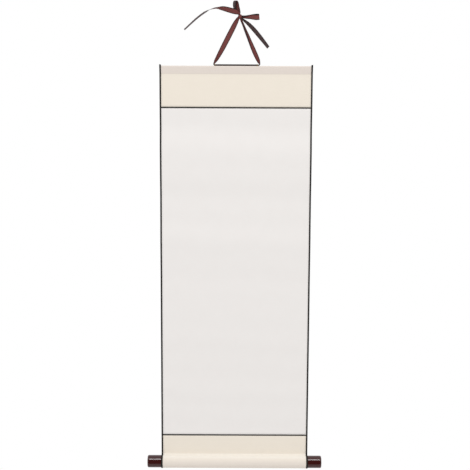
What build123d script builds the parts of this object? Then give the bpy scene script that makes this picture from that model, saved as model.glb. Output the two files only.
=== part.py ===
from build123d import *
import os
from math import atan2, cos, degrees, sin, sqrt

# A blank hanging scroll, as it hangs: +Z up, its face towards -Y and the wall behind it.
# A sheet of painting paper is mounted in silk between a wooden stave and a roller.
# The origin is where a nail bears, under the knot of the hanging ribbon.

# Mounted sheet
sheet_width = 304.5
top_panel_height = 66.6
paper_height = 677.4
bottom_panel_height = 42.5
face_layer = 0.35
backing_layer = 0.25
paste_line = 0.1
silk_lap = 9.0

# Tapes along the edges and over the seams
tape = 0.3
binding_face = 3.3
binding_overrun = 2.6
divider_height = 2.4

# Stave, flat in front and round behind
stave_height = 15.0
stave_depth = 9.5
stave_back_radius = 6.0
stave_front_radius = 0.8

# Roller and its knobs
rod_diameter = 26.0
neck_radius = 3.0
tenon_diameter = 12.0
tenon_length = 16.0
tenon_clearance = 0.2
knob_diameter = 25.4
knob_length = 28.6
knob_easing = 2.6
knob_seat_chamfer = 0.4

# Eyelets, wire staples driven into the top of the stave
eyelet_spacing = 84.0
eyelet_wire = 1.0
eyelet_gap = 3.8
eyelet_bend = 0.6
eyelet_inset = 3.6
eyelet_depth = 9.0

# Hanging ribbon and its bow
ribbon_width = 10.0
ribbon_thickness = 0.6
run_clearance = 0.2
fold_reach = 3.0
fold_radius = 1.6
foot_rise = 6.0
left_foot_shift = -0.6
right_foot_shift = 2.9
hang_drop = 91.5
hang_offset = 7.0
knot_width = 8.0
knot_depth = 7.0
knot_height = 9.0
knot_rounding = 2.4
knot_gather = 4.0
fan_length = 30.0
right_loop_reach = 38.4
upper_loop_rise = 34.6
upper_loop_turn = 27.0

# Places that follow from the sizes
wrap = paste_line + face_layer
ribbon_area = ribbon_width * ribbon_thickness
run_depth = eyelet_gap - 4 * run_clearance
run_height = ribbon_area / run_depth
eyelet_rise = run_height + 4 * run_clearance
lean = atan2(eyelet_inset, stave_height + wrap + eyelet_rise)
lean_degrees = degrees(lean)
middle_x = -hang_offset
left_edge = middle_x - sheet_width / 2
right_edge = middle_x + sheet_width / 2
stave_top_z = -hang_drop
back_core_depth = stave_depth - stave_back_radius
back_core_height = stave_height - stave_back_radius
stave_rise = back_core_height * cos(lean) + back_core_depth * sin(lean) + stave_back_radius + wrap
crease_z = stave_top_z - stave_rise
upper_seam_z = crease_z - top_panel_height
lower_seam_z = upper_seam_z - paper_height
rod_radius = rod_diameter / 2
sleeve_radius = rod_radius + wrap
rod_z = lower_seam_z - bottom_panel_height - sleeve_radius
wall_y = back_core_depth * cos(lean) - stave_back_radius * sin(lean) + stave_back_radius + wrap
rod_y = wall_y - sleeve_radius
rod_place = Pos(middle_x, rod_y, rod_z)
eyelet_places = {"left": middle_x - eyelet_spacing / 2, "right": middle_x + eyelet_spacing / 2}
run_z = stave_top_z + run_clearance + run_height / 2
run_y = eyelet_inset * cos(lean) - (stave_height + wrap + eyelet_rise / 2) * sin(lean)
left_foot = (eyelet_places["left"] + left_foot_shift, run_y, run_z + foot_rise)
right_foot = (eyelet_places["right"] + right_foot_shift, run_y, run_z + foot_rise)
loop_z = knot_height / 2
fan_end = right_loop_reach + upper_loop_rise
across_x = (1, 0, 0)
across_y = (0, 1, 0)
across_z = (0, 0, 1)
fan_points = [
    (0, -knot_gather / 2),
    (fan_length, -ribbon_width / 2),
    (fan_end, -ribbon_width / 2),
    (fan_end, ribbon_width / 2),
    (fan_length, ribbon_width / 2),
    (0, knot_gather / 2),
]


# Side sections are drawn with y across and z up, and run along the width of the scroll.
def along_width(section, start_x, end_x):
    return extrude(Plane.YZ.offset(start_x) * section, end_x - start_x)


def slab(front_y, back_y, low_z, high_z):
    corner = (Align.MIN, Align.MIN)
    return Pos(front_y, low_z) * Rectangle(back_y - front_y, high_z - low_z, align=corner)


# The stave hangs from its eyelets, so it leans until they stand straight above the sheet.
def stave_section(skin=0.0):
    corner = (Align.MIN, Align.MIN)
    block = Rectangle(stave_depth + 2 * skin, stave_height + 2 * skin, align=corner)
    back_corners = block.vertices().sort_by(Axis.X)[-2:]
    block = fillet(back_corners, stave_back_radius + skin)
    top_front_corner = block.vertices().sort_by(Axis.X)[:2].sort_by(Axis.Y)[-1]
    block = fillet(top_front_corner, stave_front_radius + skin)
    return Pos(0, crease_z) * Rot(0, 0, lean_degrees) * Pos(-skin, -skin) * block


def rod_section(skin=0.0):
    return Pos(rod_y, rod_z) * Circle(rod_radius + skin)


# One backing sheet runs from under the stave down to the rod. Paste lies round both.
def backing_section():
    sheet = slab(0, backing_layer, rod_z, crease_z + face_layer)
    return sheet - stave_section(paste_line) - rod_section(paste_line)


# The silk round the roller. Where it leaves the sheet above, it bridges the hollow on each side
# in an arc that touches both the sheet and the roller.
def sleeve_section(skin=0.0):
    radius = sleeve_radius + skin
    hollow = neck_radius - skin
    front_y = -face_layer - skin
    back_y = backing_layer + face_layer + skin
    lap_top_z = rod_z + sleeve_radius + silk_lap
    section = Pos(rod_y, rod_z) * Circle(radius) + slab(front_y, back_y, rod_z, lap_top_z)
    for sheet_y, side in ((front_y, -1), (back_y, 1)):
        arc_y = sheet_y + side * hollow
        arc_z = rod_z + sqrt((radius + hollow) ** 2 - (arc_y - rod_y) ** 2)
        touch_y = rod_y + (arc_y - rod_y) * radius / (radius + hollow)
        bridge = slab(min(sheet_y, touch_y), max(sheet_y, touch_y), rod_z, arc_z)
        section += bridge - Pos(arc_y, arc_z) * Circle(hollow)
    return section


# The silk round the stave, with its lap glued down on the back of the sheet.
def stave_cover_section(skin=0.0):
    back_y = backing_layer + face_layer + skin
    lap = slab(-face_layer - skin, back_y, crease_z - silk_lap, crease_z)
    return stave_section(wrap + skin) + lap


def mount_outline(skin=0.0):
    sheet = slab(-face_layer - skin, backing_layer + skin, rod_z, crease_z)
    return stave_cover_section(skin) + sheet + sleeve_section(skin)


def top_silk_section():
    panel = slab(-face_layer, 0, upper_seam_z, crease_z)
    return stave_cover_section() + panel - stave_section(paste_line) - backing_section()


def bottom_silk_section():
    panel = slab(-face_layer, 0, rod_z, lower_seam_z)
    return sleeve_section() + panel - rod_section(paste_line) - backing_section()


# A staple stands square to the top of the stave, its crown from front to back.
def make_eyelet(x):
    half_span = (eyelet_gap + eyelet_wire) / 2
    crown_z = eyelet_rise + eyelet_wire / 2
    wire_line = Polyline(
        (0, -half_span, -eyelet_depth),
        (0, -half_span, crown_z - eyelet_bend),
        (0, -half_span + eyelet_bend, crown_z),
        (0, half_span - eyelet_bend, crown_z),
        (0, half_span, crown_z - eyelet_bend),
        (0, half_span, -eyelet_depth),
    )
    wire_end = Plane(origin=wire_line @ 0, z_dir=wire_line % 0)
    staple = sweep(wire_end * Circle(eyelet_wire / 2), path=wire_line, transition=Transition.RIGHT)
    seat = Pos(0, eyelet_inset, stave_height + wrap)
    return Pos(x, 0, crease_z) * Rot(lean_degrees, 0, 0) * seat * staple


# The rod is turned with a tenon at each end for the knobs.
def make_rod():
    tenon_reach = sheet_width + 2 * (tape + tenon_length)
    dowel = Cylinder(rod_radius, sheet_width) + Cylinder(tenon_diameter / 2, tenon_reach)
    return rod_place * Rot(0, 90, 0) * dowel


# A knob is turned about X, its seat at x = 0. Two narrow flats ease the edge of its outer end.
def make_knob():
    radius = knob_diameter / 2
    inset = knob_easing * (1 - sqrt(0.5))
    profile = Polygon(
        (0, 0),
        (0, radius - knob_seat_chamfer),
        (knob_seat_chamfer, radius),
        (knob_length - knob_easing, radius),
        (knob_length - inset, radius - inset),
        (knob_length, radius - knob_easing),
        (knob_length, 0),
        align=None,
    )
    body = revolve(profile, Axis.X)
    bore_depth = tenon_length + tenon_clearance
    from_seat = (Align.CENTER, Align.CENTER, Align.MIN)
    bore = Cylinder(tenon_diameter / 2 + tenon_clearance, bore_depth, align=from_seat)
    return body - Rot(0, 90, 0) * bore


# A binding is a tape folded round one long edge of the mount. It closes the ends of the stave
# and roller, lets the tenon through, and its front is cut a little long at the top.
def make_binding(edge_x, outward):
    outer_x = edge_x + outward * tape
    inner_x = outer_x - outward * binding_face
    outside = along_width(mount_outline(tape), inner_x, outer_x)
    fold = outside - along_width(mount_outline(), inner_x, edge_x)
    hole = Cylinder(tenon_diameter / 2 + tenon_clearance, binding_face * 2)
    fold -= Pos(edge_x, rod_y, rod_z) * Rot(0, 90, 0) * hole
    tab_height = stave_front_radius + wrap + tape + binding_overrun
    tab_foot = Pos(0, -wrap - tape, stave_height - stave_front_radius)
    upright = (Align.CENTER, Align.MIN, Align.MIN)
    front_tab = Pos((inner_x + outer_x) / 2, 0, 0) * Box(binding_face, tape, tab_height, align=upright)
    end_tab = Pos((edge_x + outer_x) / 2, 0, 0) * Box(tape, stave_depth / 2, tab_height, align=upright)
    tabs = Pos(0, 0, crease_z) * Rot(lean_degrees, 0, 0) * tab_foot * (front_tab + end_tab)
    return fold + tabs


# A divider is a tape pasted over a seam, from one binding to the other.
def make_divider(seam_z):
    length = sheet_width + 2 * tape - 2 * binding_face
    return Pos(middle_x, -face_layer - tape / 2, seam_z) * Box(length, tape, divider_height)


# The ribbon is a flat band through stations: a place, the way its width lies, and its width there.
# Where it is gathered it is narrower, and thicker by as much.
def make_band(stations):
    sections = []
    for i, (place, across, width) in enumerate(stations):
        before = Vector(stations[max(i - 1, 0)][0])
        after = Vector(stations[min(i + 1, len(stations) - 1)][0])
        heading = (after - before).normalized()
        lie = Vector(across) - heading * Vector(across).dot(heading)
        section_plane = Plane(origin=place, x_dir=lie, z_dir=heading)
        sections.append(section_plane * Rectangle(width, ribbon_area / width))
    return loft(sections, ruled=True)


# Gathered, the ribbon runs along the stave, through both eyelets, and turns up round each.
def make_run():
    line = FilletPolyline(
        (left_foot[0], left_foot[2]),
        (eyelet_places["left"] - fold_reach, run_z),
        (eyelet_places["right"] + fold_reach, run_z),
        (right_foot[0], right_foot[2]),
        radius=fold_radius,
    )
    front_view = trace(line, run_height)
    return Pos(0, run_y, 0) * extrude(Plane.XZ * front_view, run_depth / 2, both=True)


# From the feet the legs rise to the knot. The right one turns its edge to the front on the way.
def make_legs():
    left_leg = [
        (left_foot, across_x, run_height),
        ((-40.0, -0.5, -68.8), across_x, 8.0),
        ((-22.0, -1.0, -34.5), across_x, ribbon_width),
        ((-8.5, -0.5, -8.3), across_x, 7.5),
        ((-2.0, 0, 4.0), across_x, knot_gather),
    ]
    right_leg = [
        (right_foot, across_x, run_height),
        ((32.0, -0.5, -70.5), (1, 0.6, 0), ribbon_width),
        ((21.5, -0.5, -45.8), (1, 1.2, 0), ribbon_width),
        ((11.4, 0, -22.5), (1, 2.5, 0), ribbon_width),
        ((5.1, 0, -7.0), across_y, 7.0),
        ((1.0, 0, 4.0), across_y, knot_gather),
    ]
    return make_band(left_leg) + make_band(right_leg)


# One tail turns on its edge and droops, and the other stands out stiffly to the lower right.
def make_tails():
    left_tail = [
        ((-1.0, -1.0, 5.5), across_z, knot_gather),
        ((-8.0, -2.0, 12.2), across_z, 8.5),
        ((-14.5, -2.5, 15.2), across_z, ribbon_width),
        ((-26.0, -2.5, 18.6), (0, 0.4, 1), ribbon_width),
        ((-37.7, -2.5, 20.6), (0, 1.5, 1), ribbon_width),
        ((-49.5, -2.0, 20.2), across_y, ribbon_width),
        ((-61.3, -1.0, 16.3), across_y, ribbon_width),
        ((-73.1, 0, 9.7), across_y, ribbon_width),
        ((-90.9, 0, -4.3), across_y, ribbon_width),
        ((-108.6, 0, -20.3), across_y, ribbon_width),
    ]
    right_tail = [
        ((1.0, -1.5, 4.0), (1, 0, 1), knot_gather),
        ((9.2, -3.0, -3.1), (1, 0.6, 1), 7.0),
        ((22.2, -4.0, -14.7), (1, 0.7, 1), ribbon_width),
        ((38.0, -4.5, -33.0), (1, 0.8, 1), ribbon_width),
        ((56.6, -4.5, -56.0), (1, 1.6, 1), ribbon_width),
    ]
    return make_band(left_tail) + make_band(right_tail)


# The right loop lies level, its width upright, and opens from the knot to its full width.
def make_right_loop():
    points = [(0, -0.8), (right_loop_reach, -5.0), (right_loop_reach, 3.0), (0, 0.8)]
    line = FilletPolyline(*points, radius=3.2)
    top_view = trace(line, ribbon_thickness)
    band = Pos(0, 0, loop_z) * extrude(top_view, ribbon_width / 2, both=True)
    fan = Pos(0, loop_z) * Polygon(*fan_points, align=None)
    return band & extrude(Plane.XZ * fan, ribbon_width, both=True)


# The upper loop stands up from the knot, leaning to the left, with its opening turned a little.
def make_upper_loop():
    points = [(-0.8, 6.0), (-13.2, 20.0), (-12.6, upper_loop_rise), (-5.0, upper_loop_rise), (0.8, 6.0)]
    line = FilletPolyline(*points, radius=[10.0, 3.2, 3.2])
    front_view = trace(line, ribbon_thickness)
    band = extrude(Plane.XZ * front_view, ribbon_width / 2, both=True)
    fan = Pos(0, loop_z) * Rot(0, 0, 90) * Polygon(*fan_points, align=None)
    upright = band & extrude(Plane.YZ * fan, fan_end, both=True)
    return Rot(0, 0, upper_loop_turn) * upright


def make_ribbon():
    knot_block = Box(knot_width, knot_depth, knot_height)
    knot = Pos(0, 0, knot_height / 2) * fillet(knot_block.edges(), knot_rounding)
    return knot + make_run() + make_legs() + make_tails() + make_right_loop() + make_upper_loop()


eyelets = {side: make_eyelet(x) for side, x in eyelet_places.items()}
both_eyelets = eyelets["left"] + eyelets["right"]
knob = make_knob()

parts = {
    "backing_paper": along_width(backing_section(), left_edge, right_edge),
    "painting_paper": along_width(slab(-face_layer, 0, lower_seam_z, upper_seam_z), left_edge, right_edge),
    "top_silk": along_width(top_silk_section(), left_edge, right_edge) - both_eyelets,
    "bottom_silk": along_width(bottom_silk_section(), left_edge, right_edge),
    "top_stave": along_width(stave_section(), left_edge, right_edge) - both_eyelets,
    "roller_rod": make_rod(),
    "upper_divider": make_divider(upper_seam_z),
    "lower_divider": make_divider(lower_seam_z),
    "left_binding": make_binding(left_edge, -1),
    "right_binding": make_binding(right_edge, 1),
    "left_knob": Pos(left_edge - tape, rod_y, rod_z) * Rot(0, 0, 180) * knob,
    "right_knob": Pos(right_edge + tape, rod_y, rod_z) * knob,
    "left_eyelet": eyelets["left"],
    "right_eyelet": eyelets["right"],
    "hanging_ribbon": make_ribbon(),
}

os.makedirs("parts", exist_ok=True)
for name, part in parts.items():
    export_step(part, f"parts/{name}.step")
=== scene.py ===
from math import atan2, cos, pi, radians, sin, sqrt

import bmesh
import bpy
from mathutils import Matrix, Vector


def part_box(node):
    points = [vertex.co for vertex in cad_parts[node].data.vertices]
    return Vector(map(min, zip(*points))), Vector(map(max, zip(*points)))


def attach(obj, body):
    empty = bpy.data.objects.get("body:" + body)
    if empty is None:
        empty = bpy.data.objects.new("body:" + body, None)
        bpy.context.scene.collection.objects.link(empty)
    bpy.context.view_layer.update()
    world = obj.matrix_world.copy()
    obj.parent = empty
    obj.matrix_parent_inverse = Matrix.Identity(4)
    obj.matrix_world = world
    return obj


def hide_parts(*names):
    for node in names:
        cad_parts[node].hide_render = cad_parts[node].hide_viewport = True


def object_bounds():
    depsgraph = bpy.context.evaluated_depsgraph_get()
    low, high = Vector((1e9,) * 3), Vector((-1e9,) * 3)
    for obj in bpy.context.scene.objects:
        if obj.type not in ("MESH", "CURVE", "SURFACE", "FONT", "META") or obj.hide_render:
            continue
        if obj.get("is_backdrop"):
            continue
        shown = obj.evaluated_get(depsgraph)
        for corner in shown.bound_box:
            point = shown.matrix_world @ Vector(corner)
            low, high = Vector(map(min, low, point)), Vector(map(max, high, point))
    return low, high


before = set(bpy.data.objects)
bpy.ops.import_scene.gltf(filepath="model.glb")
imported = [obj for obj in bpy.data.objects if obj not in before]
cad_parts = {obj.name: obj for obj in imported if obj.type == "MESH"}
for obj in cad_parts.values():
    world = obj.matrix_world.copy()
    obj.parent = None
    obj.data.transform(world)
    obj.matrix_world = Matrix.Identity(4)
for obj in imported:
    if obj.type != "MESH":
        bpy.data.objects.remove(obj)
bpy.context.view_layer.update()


# Stave and roller rod: planed light wood, the stave flat in front and round behind, the rod
# turned with a tenon at each end. Both are pasted inside the silk, with the grain along them.
class Shade:
    """One socket of a material's nodes. Sums and products of sockets add Math nodes."""

    def __init__(self, tree, socket=None):
        self.tree = tree
        self.socket = socket

    def node(self, kind, settings, values, output=0):
        made = self.tree.nodes.new(kind)
        for name, setting in settings.items():
            setattr(made, name, setting)
        for name, value in values.items():
            if isinstance(value, Shade):
                self.tree.links.new(value.socket, made.inputs[name])
            else:
                made.inputs[name].default_value = value
        return Shade(self.tree, made.outputs[output])

    def math(self, operation, first, second=0.0):
        return self.node("ShaderNodeMath", {"operation": operation}, {0: first, 1: second})

    def __add__(self, other):
        return self.math("ADD", self, other)

    def __radd__(self, other):
        return self.math("ADD", other, self)

    def __sub__(self, other):
        return self.math("SUBTRACT", self, other)

    def __rsub__(self, other):
        return self.math("SUBTRACT", other, self)

    def __mul__(self, other):
        return self.math("MULTIPLY", self, other)

    def __rmul__(self, other):
        return self.math("MULTIPLY", other, self)

    def feed(self, shader, name):
        self.tree.links.new(self.socket, shader.inputs[name])


def start_material(name):
    material = bpy.data.materials.new(name)
    material.use_nodes = True
    surface = material.node_tree.nodes["Principled BSDF"]
    return material, Shade(material.node_tree), surface


def coordinates(shade, kind, stretch=(1, 1, 1)):
    place = shade.node("ShaderNodeTexCoord", {}, {}, kind)
    return shade.node("ShaderNodeMapping", {}, {"Vector": place, "Scale": stretch})


def part_of(shade, place, letter):
    return shade.node("ShaderNodeSeparateXYZ", {}, {0: place}, letter)


def noise(shade, place, scale, detail=3.0):
    return shade.node("ShaderNodeTexNoise", {}, {"Vector": place, "Scale": scale, "Detail": detail})


def ramp(shade, value, start, stop):
    return shade.node("ShaderNodeMapRange", {}, {0: value, 1: start, 2: stop, 3: 0.0, 4: 1.0})


def blend_colours(shade, share, first, second):
    values = {0: share, 6: first, 7: second}
    return shade.node("ShaderNodeMix", {"data_type": "RGBA"}, values, 2)


def raise_bumps(shade, height, distance, surface, strength=1.0):
    values = {"Height": height, "Distance": distance, "Strength": strength}
    shade.node("ShaderNodeBump", {}, values).feed(surface, "Normal")


wood_light = (0.70, 0.53, 0.34, 1)
wood_dark = (0.52, 0.35, 0.20, 1)

wood, shade, surface = start_material("plain_wood")
grain = noise(shade, coordinates(shade, "Object", (14, 420, 420)), 1.0, 5.0)
blend_colours(shade, grain, wood_light, wood_dark).feed(surface, "Base Color")
(0.5 + 0.25 * grain).feed(surface, "Roughness")
raise_bumps(shade, grain, 0.0001, surface, 0.4)
for node in ("top_stave", "roller_rod"):
    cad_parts[node].data.materials.clear()
    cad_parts[node].data.materials.append(wood)


# Backing paper: the sheet behind the whole mount, pasted to the silk and the painting paper.
# The sheets still have a little of the curl of being kept rolled, in faint waves across them
# that are strongest just below the upper panel of silk.
backing_light = (0.86, 0.84, 0.79, 1)
backing_dark = (0.78, 0.75, 0.69, 1)
backing_thickness = 0.00024
sheet_columns = 40
sheet_row = 0.006
long_curl = 0.0028
short_curl = 0.0006
foot_ripple = 0.0003
slant_ripple = 0.0002
least_slack = 0.12
panel_share = 0.06
left_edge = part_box("painting_paper")[0].x
right_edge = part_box("painting_paper")[1].x
sheet_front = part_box("painting_paper")[0].y
upper_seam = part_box("painting_paper")[1].z
lower_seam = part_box("painting_paper")[0].z
backing_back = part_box("backing_paper")[1].y
backing_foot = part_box("backing_paper")[0].z
crease_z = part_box("top_stave")[0].z
rod_low, rod_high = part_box("roller_rod")
rod_y = (rod_low.y + rod_high.y) / 2
rod_z = (rod_low.z + rod_high.z) / 2
rod_radius = (rod_high.z - rod_low.z) / 2


def wave(x, z):
    drop = (crease_z - z) / (crease_z - rod_z - rod_radius)
    if not 0 < drop < 1:
        return 0.0
    held = min(1, 12 * max(0, drop - panel_share), 9 * (1 - drop))
    held = held * held * (3 - 2 * held)
    slack = max(least_slack, 1 - 1.2 * drop) ** 1.5
    sway = sin(7 * x)
    curl = long_curl * sin(37 * z - 3.6 + x) + short_curl * sin(100 * z - 1.04 + 0.5 * sway)
    ripple = foot_ripple * drop * sin(118 * z + 0.7 * sway) + slant_ripple * sin(61 * z + 4 * x + 1)
    return held * (slack * curl + ripple)


class SideLine:
    """A point or a ring of edges, drawn on in straight runs and turns as seen from the side."""

    def __init__(self, mesh, start, place):
        self.mesh = mesh
        self.end = start
        self.place = Vector(place)

    def run(self, y, z, steps=1):
        goal = Vector((self.place.x, y, z))
        self.lay(steps, dvec=(goal - self.place) / steps, angle=0)
        self.place = goal

    def turn(self, y, z, angle, steps):
        centre = Vector((self.place.x, y, z))
        self.lay(steps, cent=centre, angle=angle)
        self.place = centre + Matrix.Rotation(angle, 3, "X") @ (self.place - centre)

    def lay(self, steps, **way):
        laid = bmesh.ops.spin(self.mesh, geom=self.end, axis=(1, 0, 0), steps=steps, **way)
        self.end = [part for part in laid["geom_last"] if isinstance(part, type(self.end[0]))]


def start_sheet(*place):
    mesh = bmesh.new()
    return mesh, SideLine(mesh, [mesh.verts.new(place)], place)


def sweep_across(mesh, reach, steps):
    lengths = {}
    length = 0
    before = mesh.verts[:][0]
    for vertex in mesh.verts:
        length += (vertex.co - before.co).length
        lengths[vertex.co.y, vertex.co.z] = length
        before = vertex
    edges = mesh.edges[:]
    bmesh.ops.spin(mesh, geom=edges, axis=(1, 0, 0), angle=0, dvec=(reach / steps, 0, 0), steps=steps)
    weave = mesh.loops.layers.uv.new("weave")
    for face in mesh.faces:
        for corner in face.loops:
            place = corner.vert.co
            corner[weave].uv = (place.x, lengths[place.y, place.z])


def turn_faces(mesh, height, side):
    mesh.normal_update()
    nearest = min(mesh.faces, key=lambda face: abs(face.calc_center_median().z - height))
    if nearest.normal.y * side < 0:
        bmesh.ops.reverse_faces(mesh, faces=mesh.faces[:])


def place_piece(mesh, name, node, slot, *materials):
    data = bpy.data.meshes.new(name)
    mesh.to_mesh(data)
    mesh.free()
    data.shade_smooth()
    for material in materials:
        data.materials.append(material)
    piece = bpy.data.objects.new(name, data)
    bpy.context.scene.collection.objects.link(piece)
    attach(piece, "root")
    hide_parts(node)
    return piece


def give_thickness(piece, thickness, offset):
    wall = piece.modifiers.new("thickness", "SOLIDIFY")
    wall.thickness = thickness
    wall.offset = offset
    wall.material_offset = len(piece.data.materials) - 1


def hang(mesh, thickness, name, node, slot, material):
    for vertex in mesh.verts:
        vertex.co.y += wave(vertex.co.x, vertex.co.z)
    piece = place_piece(mesh, name, node, slot, material)
    give_thickness(piece, thickness, -1)
    return piece


backing_material, shade, surface = start_material("backing_paper")
cloud = noise(shade, coordinates(shade, "Object"), 60.0)
fibre = noise(shade, coordinates(shade, "Object", (900, 900, 220)), 1.0, 4.0)
tone = 0.6 * cloud + 0.4 * fibre
blend_colours(shade, tone, backing_light, backing_dark).feed(surface, "Base Color")
surface.inputs["Roughness"].default_value = 0.85
raise_bumps(shade, fibre, 0.00005, surface, 0.5)

bm, line = start_sheet(left_edge, backing_back, crease_z)
line.run(backing_back, backing_foot, 130)
sweep_across(bm, right_edge - left_edge, sheet_columns)
turn_faces(bm, lower_seam, 1)
backing = hang(bm, backing_thickness, "backing_sheet", "backing_paper", "backing_paper", backing_material)


# Painting paper: one sheet of absorbent white paper with long fibres, blank, pasted on the
# backing between the two panels of silk.
paper_light = (0.875, 0.846, 0.825, 1)
paper_dark = (0.835, 0.803, 0.78, 1)

paper_material, shade, surface = start_material("painting_paper")
cloud = noise(shade, coordinates(shade, "Object"), 35.0)
fibre = noise(shade, coordinates(shade, "Object", (260, 900, 1500)), 1.0, 4.0)
tone = 0.55 * cloud + 0.45 * fibre
blend_colours(shade, tone, paper_light, paper_dark).feed(surface, "Base Color")
surface.inputs["Roughness"].default_value = 0.9
surface.inputs["Specular IOR Level"].default_value = 0.15
raise_bumps(shade, fibre, 0.00005, surface, 0.4)

bm, line = start_sheet(left_edge, sheet_front, upper_seam)
line.run(sheet_front, lower_seam, 120)
sweep_across(bm, right_edge - left_edge, sheet_columns)
turn_faces(bm, lower_seam, -1)
paper = hang(bm, -sheet_front, "blank_paper", "painting_paper", "painting_paper", paper_material)


# Mounting silk: fine plain-woven cream silk, lined and pasted. The upper panel goes on up over
# the stave and laps down behind it; the lower one goes round the roller and laps up behind.
# It is greyer where it lies on wood, partly the wood showing through and partly painted shade,
# with a painted shade line along the crease below the stave and a painted highlight along the
# top of the roller.
silk_light = (0.893, 0.823, 0.723, 1)
silk_dark = (0.823, 0.750, 0.648, 1)
# Greyer silk on the wood: partly the wood showing through, partly painted shade on the stave band and the
# lower roller.
silk_on_wood_shaded = (0.724, 0.637, 0.611, 1)
# Painted highlight: a paler colour along the top of the roller, where the light falls.
silk_painted_highlight = (0.94, 0.92, 0.88, 1)
# Painted shade: a dark line along the crease below the stave.
silk_crease_shade = (0.08, 0.03, 0.02, 1)
silk_thread = 0.00055
highlight_height = 0.0128
silk_lap = 0.009
silk_wrap = 0.00045
lap_back = backing_back - sheet_front
stave_height = 0.015
stave_back_radius = 0.006
stave_core_depth = 0.0035
stave_front_radius = 0.0008
stave_overhang = 0.0036
stave_rise = 0.01825
stave_lean = atan2(stave_overhang, stave_rise)
neck_radius = 0.003


def stave_place(depth, height):
    y = depth * cos(stave_lean) - height * sin(stave_lean)
    z = crease_z + depth * sin(stave_lean) + height * cos(stave_lean)
    return y, z


def go_round_stave(line, skin):
    foot_depth = (line.place.y - skin * sin(stave_lean)) / cos(stave_lean)
    top_core = stave_height - stave_back_radius
    front_core = stave_height - stave_front_radius
    line.run(*stave_place(foot_depth, -skin))
    line.run(*stave_place(stave_core_depth, -skin), 2)
    line.turn(*stave_place(stave_core_depth, stave_back_radius), pi / 2, 10)
    line.run(*stave_place(stave_core_depth + stave_back_radius + skin, top_core), 2)
    line.turn(*stave_place(stave_core_depth, top_core), pi / 2, 10)
    line.run(*stave_place(stave_front_radius, stave_height + skin), 3)
    line.turn(*stave_place(stave_front_radius, front_core), pi / 2, 6)
    line.run(*stave_place(-skin, -skin), 6)


def go_round_roller(line, skin):
    radius = rod_radius + silk_wrap + skin
    hollow = neck_radius - skin
    front = sheet_front - skin
    back = lap_back + skin
    front_hollow_y = front - hollow
    back_hollow_y = back + hollow
    front_hollow_z = rod_z + sqrt((radius + hollow) ** 2 - (front_hollow_y - rod_y) ** 2)
    back_hollow_z = rod_z + sqrt((radius + hollow) ** 2 - (back_hollow_y - rod_y) ** 2)
    front_touch = atan2(front_hollow_z - rod_z, front_hollow_y - rod_y)
    back_touch = atan2(back_hollow_z - rod_z, back_hollow_y - rod_y)
    line.run(front, front_hollow_z, max(1, round((line.place.z - front_hollow_z) / sheet_row)))
    line.turn(front_hollow_y, front_hollow_z, front_touch - pi, 8)
    line.turn(rod_y, rod_z, back_touch + 2 * pi - front_touch, 64)
    line.turn(back_hollow_y, back_hollow_z, -back_touch, 8)
    line.run(back, rod_z + rod_radius + silk_wrap + silk_lap, 2)


def cross_threads(shade, pitch):
    cloth = coordinates(shade, "UV")
    warp = shade.math("SINE", part_of(shade, cloth, "X") * (2 * pi / pitch))
    weft = shade.math("SINE", part_of(shade, cloth, "Y") * (2 * pi / pitch))
    return warp * weft


silk_material, shade, surface = start_material("mount_silk")
weave = 0.5 + 0.5 * cross_threads(shade, silk_thread)
slub = noise(shade, coordinates(shade, "UV", (30, 1700, 1)), 1.0, 2.0)
cloud = noise(shade, coordinates(shade, "UV"), 45.0)
tone = 0.2 * weave + 0.45 * slub + 0.35 * cloud
cream = blend_colours(shade, tone, silk_light, silk_dark)
height = part_of(shade, coordinates(shade, "Object"), "Z")
over_stave = ramp(shade, height, crease_z - 0.0003, crease_z + 0.0005)
over_rod = ramp(shade, height, rod_z + 0.0125, rod_z + 0.002)
# Painted shade: darker along the crease below the stave.
fold = ramp(shade, shade.math("ABSOLUTE", height - crease_z), 0.0009, 0.0)
# Painted highlight: a paler band along the top of the roller.
highlight_band = ramp(shade, shade.math("ABSOLUTE", height - (rod_z + highlight_height)), 0.0042, 0.0004)
# Greyer over the stave and round the lower roller: partly wood showing through, partly painted shade.
on_wood_shaded = blend_colours(shade, 0.5 * over_stave + 0.33 * over_rod, cream, silk_on_wood_shaded)
with_highlight = blend_colours(shade, 0.42 * highlight_band, on_wood_shaded, silk_painted_highlight)
blend_colours(shade, 0.15 * fold, with_highlight, silk_crease_shade).feed(surface, "Base Color")
surface.inputs["Roughness"].default_value = 0.62
surface.inputs["Specular IOR Level"].default_value = 0.25
surface.inputs["Sheen Weight"].default_value = 0.05
surface.inputs["Sheen Roughness"].default_value = 0.4
raise_bumps(shade, weave + 0.5 * slub, 0.00004, surface, 0.6)

bm, line = start_sheet(left_edge, lap_back, crease_z - silk_lap)
go_round_stave(line, silk_wrap)
line.run(sheet_front, upper_seam, 13)
sweep_across(bm, right_edge - left_edge, sheet_columns)
turn_faces(bm, upper_seam, -1)
top_silk = hang(bm, -sheet_front, "upper_silk", "top_silk", "mount_silk", silk_material)

bm, line = start_sheet(left_edge, sheet_front, lower_seam)
go_round_roller(line, 0)
sweep_across(bm, right_edge - left_edge, sheet_columns)
turn_faces(bm, lower_seam, -1)
bottom_silk = hang(bm, -sheet_front, "lower_silk", "bottom_silk", "mount_silk", silk_material)


# Seam tapes: narrow near-black silk tape, pasted over each seam between paper and silk, from
# one edge binding to the other.
tape_dark = (0.016, 0.015, 0.013, 1)
tape_worn = (0.034, 0.031, 0.028, 1)
tape_thread = 0.0006
tape_thickness = 0.0003

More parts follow.
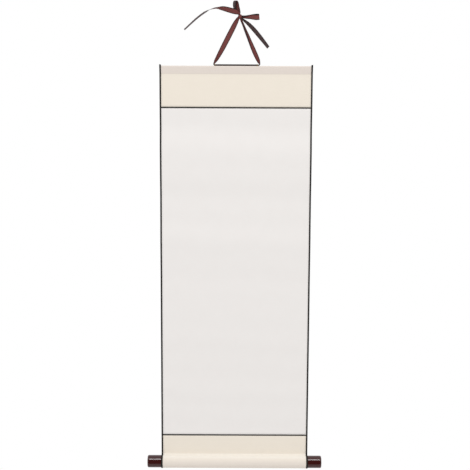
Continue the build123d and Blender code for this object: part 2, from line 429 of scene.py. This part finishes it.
tape_material, shade, surface = start_material("dark_tape")
threads = cross_threads(shade, tape_thread)
worn = noise(shade, coordinates(shade, "UV"), 260.0)
tone = 0.25 + 0.25 * threads + 0.5 * worn
blend_colours(shade, tone, tape_dark, tape_worn).feed(surface, "Base Color")
surface.inputs["Roughness"].default_value = 0.75
surface.inputs["Specular IOR Level"].default_value = 0.1
raise_bumps(shade, threads, 0.00004, surface, 0.6)

for name in ("upper", "lower"):
    low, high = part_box(name + "_divider")
    bm, line = start_sheet(low.x, low.y, high.z)
    line.run(low.y, low.z, 4)
    sweep_across(bm, high.x - low.x, sheet_columns)
    turn_faces(bm, low.z, -1)
    tape = hang(bm, tape_thickness, name + "_seam_tape", name + "_divider", "dark_tape", tape_material)


# Edge bindings: the same tape folded round each long edge of the mount, over the ends of the
# stave and roller too. The front of each is cut a little long and stands up at the top.
binding_face = 0.0033
binding_overrun = 0.0026
binding_skin = silk_wrap + tape_thickness
touching = 0.000001

for name, side in (("left", -1), ("right", 1)):
    outer_x = (left_edge if side < 0 else right_edge) + side * tape_thickness
    inner_x = outer_x - side * binding_face
    bm, line = start_sheet(outer_x, backing_back + tape_thickness, crease_z - silk_lap)
    line.run(lap_back + tape_thickness, crease_z - silk_lap)
    go_round_stave(line, binding_skin)
    go_round_roller(line, tape_thickness)
    line.run(backing_back + tape_thickness, line.place.z)
    line.run(backing_back + tape_thickness, crease_z - silk_lap, 120)
    sweep_across(bm, -side * binding_face, 3)
    bmesh.ops.remove_doubles(bm, verts=bm.verts[:], dist=touching)
    rim = [edge for edge in bm.edges if all(abs(v.co.x - outer_x) < touching for v in edge.verts)]
    bmesh.ops.contextual_create(bm, geom=rim)
    bmesh.ops.recalc_face_normals(bm, faces=bm.faces[:])
    tab_top = stave_height + binding_skin + binding_overrun
    corner_radius = stave_front_radius + binding_skin
    outline = [(stave_core_depth, tab_top), (-binding_skin, tab_top)]
    for angle in (pi - step * pi / 12 for step in range(7)):
        depth = stave_front_radius + corner_radius * cos(angle)
        outline.append((depth, stave_height - stave_front_radius + corner_radius * sin(angle)))
    outline.append((stave_core_depth, stave_height + binding_skin))
    end_tab = [bm.verts.new((outer_x, *stave_place(*place))) for place in outline]
    front_tab = [bm.verts.new((inner_x, *stave_place(*place))) for place in outline[1:3]]
    weave = bm.loops.layers.uv["weave"]
    for tab in (end_tab, [end_tab[1], *front_tab, end_tab[2]]):
        for corner in bm.faces.new(tab[::side]).loops:
            x, y, z = corner.vert.co
            corner[weave].uv = (x + y, z)
    tape = hang(bm, tape_thickness, name + "_edge_tape", name + "_binding", "dark_tape", tape_material)


# Knobs: turned wood under glossy dark red lacquer, bored for the tenons of the roller rod and
# glued on. The grain shows a little through the lacquer.
lacquer_light = (0.060, 0.010, 0.009, 1)
lacquer_dark = (0.030, 0.005, 0.0045, 1)
bore_depth = 0.0162
bore_radius = 0.0062
end_margin = 0.0034
end_rounding = 0.0026
seat_margin = 0.0008
seat_rounding = 0.0004

lacquer, shade, surface = start_material("knob_lacquer")
grain = noise(shade, coordinates(shade, "Object", (25, 500, 500)), 1.0, 5.0)
blend_colours(shade, grain, lacquer_light, lacquer_dark).feed(surface, "Base Color")
(0.075 + 0.02 * grain).feed(surface, "Roughness")

for name, side in (("left", -1), ("right", 1)):
    low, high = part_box(name + "_knob")
    seat = low.x if side > 0 else high.x
    end = high.x if side > 0 else low.x
    radius = (high.z - low.z) / 2
    bored = seat + side * bore_depth
    bore = [(bored, 0), (bored, bore_radius), (seat, bore_radius)]
    barrel = [(seat, radius), (seat + side * seat_margin, radius), (end - side * end_margin, radius)]
    face = [(end, radius), (end, radius - end_margin), (end, 0)]
    centre = Vector((0, rod_y, rod_z))
    bm = bmesh.new()
    outline = [bm.verts.new((x, rod_y, rod_z + height)) for x, height in bore + barrel + face]
    edges = [bm.edges.new(pair) for pair in zip(outline, outline[1:])]
    bmesh.ops.spin(
        bm, geom=edges, cent=centre, axis=(1, 0, 0), angle=2 * pi, steps=96, use_merge=True
    )
    bmesh.ops.remove_doubles(bm, verts=bm.verts[:], dist=touching)
    for x, easing, segments in ((end, end_rounding, 8), (seat, seat_rounding, 3)):
        on_end = [v for v in bm.verts if abs(v.co.x - x) < touching]
        on_rim = {v for v in on_end if (v.co - centre).yz.length > radius - touching}
        rim = [edge for edge in bm.edges if on_rim.issuperset(edge.verts)]
        bmesh.ops.bevel(
            bm, geom=rim, offset=easing, segments=segments, profile=0.5, affect="EDGES", material=-1
        )
    bmesh.ops.recalc_face_normals(bm, faces=bm.faces[:])
    place_piece(bm, name + "_turned_knob", name + "_knob", "knob_lacquer", lacquer)


# Eyelets: drawn brass wire bent into staples and driven into the top of the stave, square to
# it. Handling has dulled the brass in places.
brass_bright = (0.62, 0.47, 0.22, 1)
brass_dull = (0.40, 0.29, 0.13, 1)
eyelet_wire = 0.0005
eyelet_bend = 0.0009
eyelet_front = 0.0012
eyelet_back = 0.0060
eyelet_foot = 0.00645
eyelet_crown = 0.01875

brass, shade, surface = start_material("eyelet_wire")
dull = noise(shade, coordinates(shade, "Object"), 700.0)
blend_colours(shade, dull, brass_bright, brass_dull).feed(surface, "Base Color")
(0.25 + 0.3 * dull).feed(surface, "Roughness")
surface.inputs["Metallic"].default_value = 1.0

for name in ("left", "right"):
    low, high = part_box(name + "_eyelet")
    foot = ((low.x + high.x) / 2, *stave_place(eyelet_front, eyelet_foot))
    upright = Matrix.Translation(foot) @ Matrix.Rotation(stave_lean, 4, "X")
    bm = bmesh.new()
    bmesh.ops.create_circle(bm, cap_ends=True, segments=20, radius=eyelet_wire, matrix=upright)
    line = SideLine(bm, bm.edges[:], foot)
    line.run(*stave_place(eyelet_front, eyelet_crown - eyelet_bend), 4)
    line.turn(*stave_place(eyelet_front + eyelet_bend, eyelet_crown - eyelet_bend), -pi / 2, 8)
    line.run(*stave_place(eyelet_back - eyelet_bend, eyelet_crown), 3)
    line.turn(*stave_place(eyelet_back - eyelet_bend, eyelet_crown - eyelet_bend), -pi / 2, 8)
    line.run(*stave_place(eyelet_back, eyelet_foot), 4)
    bmesh.ops.contextual_create(bm, geom=line.end)
    bmesh.ops.recalc_face_normals(bm, faces=bm.faces[:])
    place_piece(bm, name + "_staple", name + "_eyelet", "eyelet_wire", brass)


# Hanging ribbon: one maroon twill ribbon with dark selvedges and a dark reverse. It runs
# gathered through both eyelets, its two legs meet in a knot, and a bow and two tails hang there.
ribbon_width = 0.0104
ribbon_thickness = 0.0004
ribbon_folds = 4
ribbon_columns = 40
selvedge_inner = 0.34
selvedge_outer = 0.38
twill_pitch = 0.0011
turn_radius = 0.0006
exit_place = (0.0350, 0.00027, -0.0903)


def read_line(points):
    curve = bpy.data.curves.new("ribbon_line", "CURVE")
    curve.dimensions = "3D"
    curve.resolution_u = 10
    spline = curve.splines.new("NURBS")
    spline.points.add(len(points) - 1)
    for point, place in zip(spline.points, points):
        point.co = (*place, 1)
    spline.order_u = 3
    spline.use_endpoint_u = True
    holder = bpy.data.objects.new("ribbon_line", curve)
    drawn = bpy.data.meshes.new_from_object(holder)
    places = [vertex.co.copy() for vertex in drawn.vertices]
    bpy.data.objects.remove(holder)
    bpy.data.curves.remove(curve)
    bpy.data.meshes.remove(drawn)
    return places


def weave_ribbon(name, stations):
    first = []
    second = []
    turned = []
    for place, lie, width, *share in stations:
        reach = Vector(lie).normalized() * width / 2
        first.append(Vector(place) + reach)
        second.append(Vector(place) - reach)
        turned.append((sum(share), len(turned), 0))
    first = read_line(first)
    second = read_line(second)
    turned = [place.x for place in read_line(turned)]
    middle = [(a + b) / 2 for a, b in zip(first, second)]
    last = len(middle) - 1
    laid = [0.0]
    for before, after in zip(middle, middle[1:]):
        laid.append(laid[-1] + (after - before).length)
    bm = bmesh.new()
    weave = bm.loops.layers.uv.new("weave")
    bmesh.ops.create_grid(bm, x_segments=last, y_segments=ribbon_columns, size=1, calc_uvs=True)
    for face in bm.faces:
        for corner in face.loops:
            step = round((corner.vert.co.x + 1) / 2 * last)
            corner[weave].uv = (laid[step], (corner.vert.co.y + 1) / 2)
    for vertex in bm.verts:
        step = round((vertex.co.x + 1) / 2 * last)
        share = vertex.co.y
        half = (first[step] - second[step]) / 2
        heading = middle[min(step + 1, last)] - middle[max(step - 1, 0)]
        out = heading.cross(half).normalized()
        flat = ribbon_width * (1 - turned[step])
        spare = sqrt(max(0, flat**2 - (2 * half.length) ** 2))
        fold = spare / (4 * ribbon_folds) * cos(ribbon_folds * pi * (share + 1))
        past = (share + 1) / 2 * ribbon_width - flat
        bend = min(max(0, past) / turn_radius, pi)
        lift = turn_radius * (1 - cos(bend))
        inward = min(0, past) - max(0, past - pi * turn_radius)
        along = half.length + inward * 2 * half.length / flat + turn_radius * sin(bend)
        vertex.co = middle[step] + half.normalized() * along + out * (fold + lift)
    piece = place_piece(bm, name, "hanging_ribbon", "hanging_ribbon", ribbon_face, ribbon_reverse)
    give_thickness(piece, ribbon_thickness, 0)
    return piece, middle


def ribbon_material(name, light, dark, selvedge):
    material, shade, surface = start_material(name)
    cloth = coordinates(shade, "UV")
    along = part_of(shade, cloth, "X")
    across = part_of(shade, cloth, "Y")
    twill = 0.5 + 0.5 * shade.math("SINE", (along + across * ribbon_width) * (2 * pi / twill_pitch))
    streak = noise(shade, coordinates(shade, "UV", (40, 30, 1)), 1.0, 3.0)
    colour = blend_colours(shade, 0.55 * twill + 0.45 * streak, light, dark)
    edge = ramp(shade, shade.math("ABSOLUTE", across - 0.5), selvedge_inner, selvedge_outer)
    blend_colours(shade, edge, colour, selvedge).feed(surface, "Base Color")
    surface.inputs["Roughness"].default_value = 0.6
    surface.inputs["Specular IOR Level"].default_value = 0.15
    raise_bumps(shade, twill, 0.0001, surface, 0.5)
    return material


ribbon_face = ribbon_material(
    "ribbon_face",
    light=(0.208, 0.060, 0.056, 1),
    dark=(0.133, 0.039, 0.036, 1),
    selvedge=(0.024, 0.014, 0.012, 1),
)
ribbon_reverse = ribbon_material(
    "ribbon_reverse",
    light=(0.086, 0.053, 0.053, 1),
    dark=(0.056, 0.035, 0.035, 1),
    selvedge=(0.020, 0.013, 0.013, 1),
)

left_route = [
    (exit_place, (0, -0.6, 0.8), 0.0028),
    ((0.0060, 0.00027, -0.0902), (0, -0.6, 0.8), 0.0028),
    ((-0.0280, 0.00027, -0.0902), (0, -0.6, 0.8), 0.0028),
    ((-0.0480, 0.00027, -0.0902), (0, -0.6, 0.8), 0.0028),
    ((-0.0506, 0.00027, -0.0902), (0, -0.8, 0.6), 0.0029),
    ((-0.0517, 0.00027, -0.0888), (-0.1, -1, 0), 0.0030),
    ((-0.0508, 0.00025, -0.0866), (-0.5, -0.8, 0.3), 0.0038),
    ((-0.0489, 0.00010, -0.0836), (-0.87, -0.3, 0.49), 0.0054),
    ((-0.0450, -0.0002, -0.0775), (-0.87, 0, 0.49), 0.0072),
    ((-0.0382, -0.0005, -0.0653), (-0.87, 0, 0.49), 0.0091),
    ((-0.0280, -0.0008, -0.0459), (-0.87, 0, 0.49), 0.0104),
    ((-0.0180, -0.0010, -0.0265), (-0.87, 0, 0.49), 0.0102),
    ((-0.0099, -0.0008, -0.0108), (-0.87, 0, 0.49), 0.0096),
    ((-0.0050, -0.0005, -0.0018), (-0.8, 0, 0.6), 0.0070),
    ((-0.0015, 0.0000, 0.0035), (-0.5, 0, 0.87), 0.0040),
    ((0.0030, -0.0010, 0.0036), (0, 0, 1), 0.0038, 0.40),
    ((0.0120, -0.0026, 0.0023), (0, 0, 1), 0.0055, 0.40),
    ((0.0215, -0.0040, 0.0028), (0, 0, 1), 0.0080, 0.12),
    ((0.0300, -0.0050, 0.0022), (0, 0, 1), 0.0104),
    ((0.0356, -0.0052, 0.0023), (0, 0, 1), 0.0104),
    ((0.0382, -0.0040, 0.0030), (-0.08, 0, 1), 0.0104),
    ((0.0382, 0.0010, 0.0041), (-0.08, 0, 1), 0.0104),
    ((0.0358, 0.0030, 0.0050), (0, 0, 1), 0.0104),
    ((0.0290, 0.0032, 0.0048), (0, 0, 1), 0.0102),
    ((0.0180, 0.0024, 0.0040), (0, 0, 1), 0.0072),
    ((0.0070, 0.0012, 0.0035), (0, 0, 1), 0.0046),
    ((0.0010, 0.0000, 0.0060), (0, -1, 0), 0.0040),
    ((-0.0008, -0.0026, 0.0098), (0.5, 0, -0.87), 0.0066),
    ((-0.0042, -0.0036, 0.0122), (0.1, 0, -1), 0.0094),
    ((-0.0090, -0.0038, 0.0134), (-0.02, 0.15, -1), 0.0108),
    ((-0.0150, -0.0038, 0.0147), (-0.06, 0.25, -1), 0.0110),
    ((-0.0255, -0.0033, 0.0175), (0.12, 0.25, -1), 0.0108),
    ((-0.0320, -0.0028, 0.0191), (0.18, 0.55, -1), 0.0104),
    ((-0.0380, -0.0024, 0.0199), (0.1, 1.5, -1), 0.0104),
    ((-0.0440, -0.0021, 0.0204), (0.03, 5.0, -1), 0.0104),
    ((-0.0500, -0.0018, 0.0202), (0, 1, -0.1), 0.0104),
    ((-0.0610, -0.0008, 0.0167), (-0.08, 1, 0.12), 0.0104),
    ((-0.0670, -0.0003, 0.0136), (-0.2, 1, 0.34), 0.0104),
    ((-0.0731, 0.0000, 0.0098), (-0.26, 1, 0.35), 0.0104),
    ((-0.0850, 0.0000, 0.0009), (-0.28, 1, 0.33), 0.0104),
    ((-0.0968, 0.0000, -0.0097), (-0.26, 1, 0.3), 0.0104),
    ((-0.1098, 0.0000, -0.0216), (-0.24, 1, 0.26), 0.0104),
]
right_route = [
    (exit_place, (0, 0.6, -0.8), 0.0028),
    ((0.0370, 0.00027, -0.0902), (0, 0.8, -0.6), 0.0029),
    ((0.0396, 0.00027, -0.0899), (0, 1, 0), 0.0030),
    ((0.0397, 0.00027, -0.0872), (-0.4, 1, -0.1), 0.0040),
    ((0.0388, 0.00010, -0.0846), (-0.92, 0.3, -0.39), 0.0046, 0.10),
    ((0.0367, -0.0002, -0.0800), (-0.92, 0, -0.39), 0.0066, 0.15),
    ((0.0321, -0.0005, -0.0702), (-0.92, 0, -0.39), 0.0080, 0.19),
    ((0.0247, -0.0005, -0.0536), (-0.92, 0, -0.39), 0.0074, 0.26),
    ((0.0214, -0.0005, -0.0458), (-0.92, 0, -0.39), 0.0065, 0.34),
    ((0.0149, -0.0003, -0.0303), (-0.92, 0, -0.39), 0.0056, 0.43),
    ((0.0114, -0.0002, -0.0225), (-0.92, 0, -0.39), 0.0047, 0.47),
    ((0.0082, 0.0000, -0.0147), (-0.92, 0, -0.39), 0.0037, 0.47),
    ((0.0050, 0.0002, -0.0070), (-0.92, 0.2, -0.39), 0.0033, 0.42),
    ((0.0020, 0.0004, 0.0000), (-0.6, 0.6, -0.2), 0.0036, 0.20),
    ((0.0000, 0.0000, 0.0050), (-0.77, -0.64, 0), 0.0040),
    ((-0.0045, 0.0014, 0.0105), (0.2, -0.98, 0), 0.0056),
    ((-0.0088, 0.0030, 0.0160), (0.52, -0.85, 0), 0.0082),
    ((-0.0111, 0.0032, 0.0230), (0.56, -0.83, 0), 0.0098),
    ((-0.0111, 0.0026, 0.0296), (0.56, -0.83, -0.05), 0.0104),
    ((-0.0105, 0.0022, 0.0338), (0.5, -0.87, -0.1), 0.0104),
    ((-0.0083, 0.0020, 0.0356), (0.45, -0.9, -0.1), 0.0104),
    ((-0.0063, 0.0022, 0.0336), (0.5, -0.87, -0.1), 0.0104),
    ((-0.0057, 0.0026, 0.0296), (0.64, -0.77, 0), 0.0104),
    ((-0.0051, 0.0028, 0.0240), (0.72, -0.7, 0), 0.0104),
    ((-0.0036, 0.0028, 0.0185), (0.9, -0.44, 0), 0.0088),
    ((-0.0015, 0.0020, 0.0120), (0.77, 0.64, 0), 0.0068),
    ((-0.0003, 0.0008, 0.0080), (-0.17, 0.98, -0.2), 0.0046),
    ((0.0005, 0.0000, 0.0050), (-0.8, 0.6, -0.5), 0.0040),
    ((0.0055, -0.0022, -0.0015), (-0.78, 1.4, -0.63), 0.0049),
    ((0.0102, -0.0032, -0.0052), (-0.78, 1.3, -0.63), 0.0075),
    ((0.0178, -0.0038, -0.0113), (-0.77, 1.1, -0.64), 0.0097),
    ((0.0289, -0.0043, -0.0225), (-1, 1.3, -1), 0.0104),
    ((0.0420, -0.0045, -0.0380), (-1, 1.5, -1), 0.0104),
    ((0.0498, -0.0045, -0.0477), (-1, 2.0, -1), 0.0104),
    ((0.0564, -0.0045, -0.0560), (-1, 2.4, -1), 0.0104),
]
left_ribbon, left_line = weave_ribbon("ribbon_left_half", left_route)
right_ribbon, right_line = weave_ribbon("ribbon_right_half", right_route)

knot_low = Vector((-0.0036, -0.0038, -0.0003))
knot_high = Vector((0.0042, 0.0035, 0.0088))
knot_girth = 0.0253
knot_selvedges = 1.3
knot_pleat_rate = 10
knot_pleat_depth = 0.05
knot_pleat_sway = 1.2
knot_pleat_start = 0.6
bm = bmesh.new()
weave = bm.loops.layers.uv.new("weave")
sideways = Matrix.Rotation(pi / 2, 4, "Y")
bmesh.ops.create_uvsphere(bm, u_segments=64, v_segments=48, radius=1, matrix=sideways, calc_uvs=True)
for face in bm.faces:
    for corner in face.loops:
        round_knot, across = corner[weave].uv
        corner[weave].uv = (round_knot * knot_girth, 0.5 + knot_selvedges * (across - 0.5))
for vertex in bm.verts:
    x, y, z = vertex.co
    sway = knot_pleat_sway * sin(atan2(z, y) + knot_pleat_start)
    pleat = 1 + knot_pleat_depth * cos(knot_pleat_rate * x + sway) * (1 - x * x)
    vertex.co = (x, y * pleat, z * pleat)
bmesh.ops.scale(bm, vec=(knot_high - knot_low) / 2, verts=bm.verts[:])
bmesh.ops.translate(bm, vec=(knot_low + knot_high) / 2, verts=bm.verts[:])
knot = place_piece(bm, "ribbon_knot", "hanging_ribbon", "hanging_ribbon", ribbon_face)


# Studio: a round of pale floor well below the hanging scroll, fading into a white surround, and
# one large soft lamp in front of the scroll and high above it. A dark card stands behind the
# camera, for the lacquer to mirror.
floor_z = -1.3
floor_radius = 0.9
floor_clear = 0.5
floor_grey = (0.85, 0.85, 0.85, 1)
lamp_place = Vector((0, -2.2, 2.6))
lamp_goal = Vector((0, 0, -0.45))
card_reach = 2
card_place = (0, -2.6, -0.5)
card_grey = (0.03, 0.03, 0.03, 1)


def set_stage(mesh, name, material):
    data = bpy.data.meshes.new(name)
    mesh.to_mesh(data)
    mesh.free()
    data.materials.append(material)
    piece = bpy.data.objects.new(name, data)
    bpy.context.scene.collection.objects.link(piece)
    piece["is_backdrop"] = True
    return piece


floor_material, shade, surface = start_material("pale_floor")
surface.inputs["Base Color"].default_value = floor_grey
surface.inputs["Roughness"].default_value = 0.9
flat = coordinates(shade, "Object", (1, 1, 0))
from_middle = shade.node("ShaderNodeVectorMath", {"operation": "LENGTH"}, {0: flat}, 1)
ramp(shade, from_middle, floor_radius, floor_clear).feed(surface, "Alpha")
bm = bmesh.new()
bmesh.ops.create_circle(bm, cap_ends=True, segments=96, radius=floor_radius)
bmesh.ops.translate(bm, vec=(0, 0, floor_z), verts=bm.verts[:])
set_stage(bm, "floor", floor_material)

world = bpy.data.worlds.new("surround")
world.use_nodes = True
bpy.context.scene.world = world
shade = Shade(world.node_tree)
camera_ray = shade.node("ShaderNodeLightPath", {}, {}, "Is Camera Ray")
glossy_ray = shade.node("ShaderNodeLightPath", {}, {}, "Is Glossy Ray")
clear_ray = shade.node("ShaderNodeLightPath", {}, {}, "Is Transmission Ray")
seen = shade.math("MAXIMUM", shade.math("MAXIMUM", camera_ray, glossy_ray), clear_ray)
(0.81 + 0.19 * seen).feed(world.node_tree.nodes["Background"], "Color")

lamp = bpy.data.lights.new("high_lamp", "AREA")
lamp.shape = "RECTANGLE"
lamp.size = 1.3
lamp.size_y = 0.6
lamp.energy = 41
lamp_holder = bpy.data.objects.new("high_lamp", lamp)
bpy.context.scene.collection.objects.link(lamp_holder)
lamp_holder.location = lamp_place
lamp_holder.rotation_euler = (lamp_goal - lamp_place).to_track_quat("-Z", "Y").to_euler()
lamp_holder.visible_camera = False

card_material, shade, surface = start_material("dark_card")
surface.inputs["Base Color"].default_value = card_grey
surface.inputs["Specular IOR Level"].default_value = 0.0
upright = Matrix.Rotation(pi / 2, 4, "X")
bm = bmesh.new()
bmesh.ops.create_grid(bm, x_segments=1, y_segments=1, size=card_reach, matrix=upright)
bmesh.ops.translate(bm, vec=card_place, verts=bm.verts[:])
card = set_stage(bm, "dark_card", card_material)
card.visible_camera = False
card.visible_diffuse = False
card.visible_shadow = False


# Camera: level with the upper half of the scroll, looking a little down at it and rolled by a
# quarter of a degree, from far enough for the sides to taper only slightly.
camera_distance = 1.9
camera_pitch = radians(7.375)
camera_roll = radians(0.25)
camera_aim = Vector((-0.00785, 0, -0.43026))
camera = bpy.data.cameras.new("camera")
camera.sensor_width = 36
camera.lens = 71.63
camera_holder = bpy.data.objects.new("camera", camera)
bpy.context.scene.collection.objects.link(camera_holder)
stand = Matrix.Translation(camera_aim) @ Matrix.Rotation(pi / 2 - camera_pitch, 4, "X")
stand = stand @ Matrix.Rotation(camera_roll, 4, "Z") @ Matrix.Translation((0, 0, camera_distance))
camera_holder.matrix_world = stand
bpy.context.scene.camera = camera_holder
bpy.context.scene.view_settings.view_transform = "Standard"

low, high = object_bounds()
